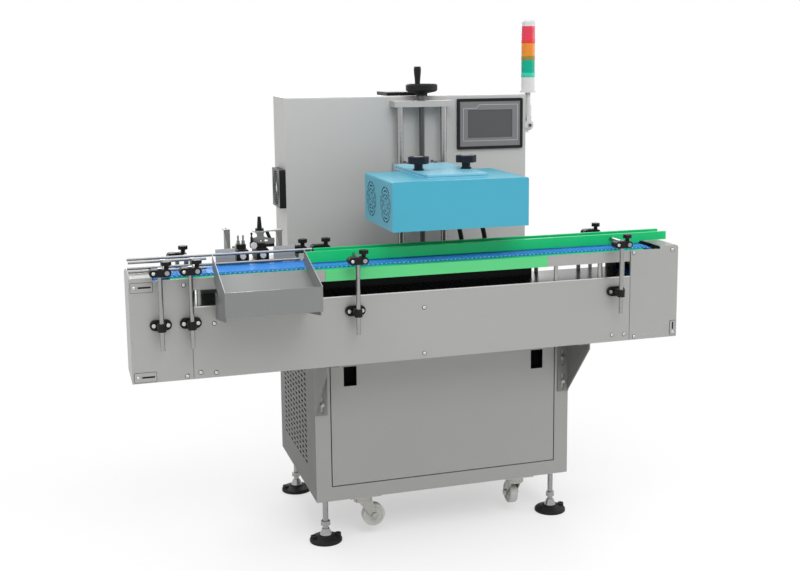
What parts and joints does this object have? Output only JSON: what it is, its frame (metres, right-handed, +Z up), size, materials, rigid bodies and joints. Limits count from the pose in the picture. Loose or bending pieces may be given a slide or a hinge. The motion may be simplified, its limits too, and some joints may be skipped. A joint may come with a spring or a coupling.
{
  "type": "induction cap sealer",
  "caption": "Free-standing conveyor machine that seals foil-lined bottle caps under a height-adjustable induction head, with bottle guides, reject tray, touch panel and signal tower.",
  "frame": {"origin": "floor level, under the middle of the machine's box", "axes": "+X along the conveyor to the right as seen from the operator's side, +Y from the operator's side to the back, +Z up"},
  "size_m": [1.6, 0.906, 1.547],
  "materials": {
    "stainless": "brushed",
    "stainless_pale": "fine brushed",
    "bright_steel": "polished",
    "column_alloy": "satin",
    "black_plastic": "satin",
    "rail_green": "smooth",
    "deck_green": "smooth",
    "belt_blue": "moulded",
    "head_blue": "satin paint",
    "white_plastic": "smooth",
    "power_paint": "satin paint",
    "motor_paint": "satin paint",
    "dark_knob": "satin",
    "panel_grey": "satin",
    "lens_green": "ribbed",
    "lens_amber": "ribbed",
    "lens_red": "ribbed"
  },
  "bodies": {
    "base": {"base_shell": "stainless", "base_side_panels": "stainless", "base_front_frame": "stainless", "base_gussets": "stainless", "power_unit": "power_paint", "levelling_feet": "black_plastic", "caster_plates": "bright_steel", "conveyor_channel": "stainless", "end_cover_left": "stainless", "end_cover_right": "stainless", "deck_rails": "stainless", "deck_plastics": "deck_green", "coil_zone_frame": "black_plastic", "conveyor_belt": "belt_blue", "gear_motor": "motor_paint", "post_clamps": "black_plastic", "reject_tray": "stainless", "reject_unit": "stainless", "control_cabinet": "stainless_pale", "top_cover_plate": "black_plastic", "touch_panel": "panel_grey", "fan_housing": "black_plastic", "lift_column": "column_alloy", "tower_bracket": "white_plastic", "head_cables": "black_plastic"},
    "access_panel": {"front_panel": "stainless"},
    "sealing_head": {"lift_carriage": "column_alloy", "head_arm_plate": "head_blue", "head_cover": "head_blue", "coil_tray": "white_plastic"},
    "lift_screw": {"lead_screw": "bright_steel", "handwheel": "black_plastic"},
    "crank_grip": {"crank_grip": "black_plastic"},
    "star_knob_left": {"star_knob_left": "dark_knob"},
    "star_knob_right": {"star_knob_right": "dark_knob"},
    "signal_tower": {"tower_body": "white_plastic", "lens_green": "lens_green", "lens_amber": "lens_amber", "lens_red": "lens_red"},
    "fan_rotor": {"fan_rotor": "black_plastic"},
    "drive_shaft": {"drive_shaft": "bright_steel"},
    "idler_shaft": {"idler_shaft": "bright_steel"},
    "pusher_left": {"pusher_left": "bright_steel"},
    "pusher_right": {"pusher_right": "bright_steel"},
    "front_rail_posts": {"front_rail_posts": "bright_steel"},
    "rear_rail_posts": {"rear_rail_posts": "bright_steel"},
    "front_rod_posts": {"front_rod_posts": "bright_steel"},
    "rear_rod_posts": {"rear_rod_posts": "bright_steel"},
    "front_guide_rail": {"front_guide_rail": "rail_green"},
    "rear_guide_rail": {"rear_guide_rail": "rail_green"},
    "infeed_rods_front": {"infeed_rods_front": "bright_steel"},
    "infeed_rods_rear": {"infeed_rods_rear": "bright_steel"},
    "caster_fork_fl": {"caster_fork_fl": "bright_steel"},
    "caster_wheel_fl": {"caster_wheel_fl": "white_plastic"},
    "caster_fork_fr": {"caster_fork_fr": "bright_steel"},
    "caster_wheel_fr": {"caster_wheel_fr": "white_plastic"},
    "caster_fork_rl": {"caster_fork_rl": "bright_steel"},
    "caster_wheel_rl": {"caster_wheel_rl": "white_plastic"},
    "caster_fork_rr": {"caster_fork_rr": "bright_steel"},
    "caster_wheel_rr": {"caster_wheel_rr": "white_plastic"}
  },
  "joints": [
    {"name": "head_lift", "type": "slide", "parent": "base", "child": "sealing_head", "axis": [0, 0, 1], "range_m": [-0.05, 0.17], "deforming": ["head_cables"]},
    {"name": "handwheel_turn", "type": "hinge", "parent": "base", "child": "lift_screw", "pos_m": [0.149, 0.234, 1.31], "axis": [0, 0, 1], "range_deg": [-12240, 3600]},
    {"name": "crank_grip_spin", "type": "hinge", "parent": "lift_screw", "child": "crank_grip", "pos_m": [0.1262, 0.2036, 1.36], "axis": [0, 0, 1], "continuous": true},
    {"name": "star_knob_left_turn", "type": "hinge", "parent": "sealing_head", "child": "star_knob_left", "pos_m": [0.0285, -0.11212, 1.12], "axis": [0, 0, 1], "continuous": true},
    {"name": "star_knob_right_turn", "type": "hinge", "parent": "sealing_head", "child": "star_knob_right", "pos_m": [0.1735, -0.11212, 1.12], "axis": [0, 0, 1], "continuous": true},
    {"name": "tower_fold", "type": "hinge", "parent": "base", "child": "signal_tower", "pos_m": [0.536, 0.294, 1.205], "axis": [0, 1, 0], "range_deg": [0, 90]},
    {"name": "fan_spin", "type": "hinge", "parent": "base", "child": "fan_rotor", "pos_m": [-0.29, 0.328, 1.026], "axis": [1, 0, 0], "continuous": true},
    {"name": "drive_shaft_turn", "type": "hinge", "parent": "base", "child": "drive_shaft", "pos_m": [0.698, -0.166, 0.821], "axis": [0, 1, 0], "continuous": true},
    {"name": "idler_shaft_turn", "type": "hinge", "parent": "base", "child": "idler_shaft", "pos_m": [-0.698, -0.166, 0.821], "axis": [0, 1, 0], "continuous": true},
    {"name": "access_panel_pull", "type": "slide", "parent": "base", "child": "access_panel", "axis": [0, -1, 0], "range_m": [0, 0.12]},
    {"name": "pusher_left_stroke", "type": "slide", "parent": "base", "child": "pusher_left", "axis": [0, -1, 0], "range_m": [0, 0.06]},
    {"name": "pusher_right_stroke", "type": "slide", "parent": "base", "child": "pusher_right", "axis": [0, -1, 0], "range_m": [0, 0.06]},
    {"name": "front_rail_height", "type": "slide", "parent": "base", "child": "front_rail_posts", "axis": [0, 0, 1], "range_m": [0, 0.03]},
    {"name": "rear_rail_height", "type": "slide", "parent": "base", "child": "rear_rail_posts", "axis": [0, 0, 1], "range_m": [0, 0.03]},
    {"name": "front_rods_height", "type": "slide", "parent": "base", "child": "front_rod_posts", "axis": [0, 0, 1], "range_m": [0, 0.03]},
    {"name": "rear_rods_height", "type": "slide", "parent": "base", "child": "rear_rod_posts", "axis": [0, 0, 1], "range_m": [0, 0.03]},
    {"name": "front_rail_width", "type": "slide", "parent": "front_rail_posts", "child": "front_guide_rail", "axis": [0, 1, 0], "range_m": [-0.03, 0.012]},
    {"name": "rear_rail_width", "type": "slide", "parent": "rear_rail_posts", "child": "rear_guide_rail", "axis": [0, 1, 0], "range_m": [-0.012, 0.02]},
    {"name": "front_rods_width", "type": "slide", "parent": "front_rod_posts", "child": "infeed_rods_front", "axis": [0, 1, 0], "range_m": [-0.03, 0.012]},
    {"name": "rear_rods_width", "type": "slide", "parent": "rear_rod_posts", "child": "infeed_rods_rear", "axis": [0, 1, 0], "range_m": [-0.02, 0.006]},
    {"name": "caster_swivel_fl", "type": "hinge", "parent": "base", "child": "caster_fork_fl", "pos_m": [-0.134, -0.043, 0.12], "axis": [0, 0, 1], "continuous": true},
    {"name": "caster_roll_fl", "type": "hinge", "parent": "caster_fork_fl", "child": "caster_wheel_fl", "pos_m": [-0.102, -0.043, 0.065], "axis": [0, 1, 0], "continuous": true},
    {"name": "caster_swivel_fr", "type": "hinge", "parent": "base", "child": "caster_fork_fr", "pos_m": [0.358, -0.043, 0.12], "axis": [0, 0, 1], "continuous": true},
    {"name": "caster_roll_fr", "type": "hinge", "parent": "caster_fork_fr", "child": "caster_wheel_fr", "pos_m": [0.358, -0.011, 0.065], "axis": [1, 0, 0], "continuous": true},
    {"name": "caster_swivel_rl", "type": "hinge", "parent": "base", "child": "caster_fork_rl", "pos_m": [-0.134, 0.396, 0.12], "axis": [0, 0, 1], "continuous": true},
    {"name": "caster_roll_rl", "type": "hinge", "parent": "caster_fork_rl", "child": "caster_wheel_rl", "pos_m": [-0.134, 0.428, 0.065], "axis": [1, 0, 0], "continuous": true},
    {"name": "caster_swivel_rr", "type": "hinge", "parent": "base", "child": "caster_fork_rr", "pos_m": [0.358, 0.396, 0.12], "axis": [0, 0, 1], "continuous": true},
    {"name": "caster_roll_rr", "type": "hinge", "parent": "caster_fork_rr", "child": "caster_wheel_rr", "pos_m": [0.39, 0.396, 0.065], "axis": [0, 1, 0], "continuous": true}
  ],
  "couplings": [
    {"joint": "handwheel_turn", "follows": "head_lift", "rad_per_m": -1256.6},
    {"joint": "idler_shaft_turn", "follows": "drive_shaft_turn", "ratio": 1}
  ]
}
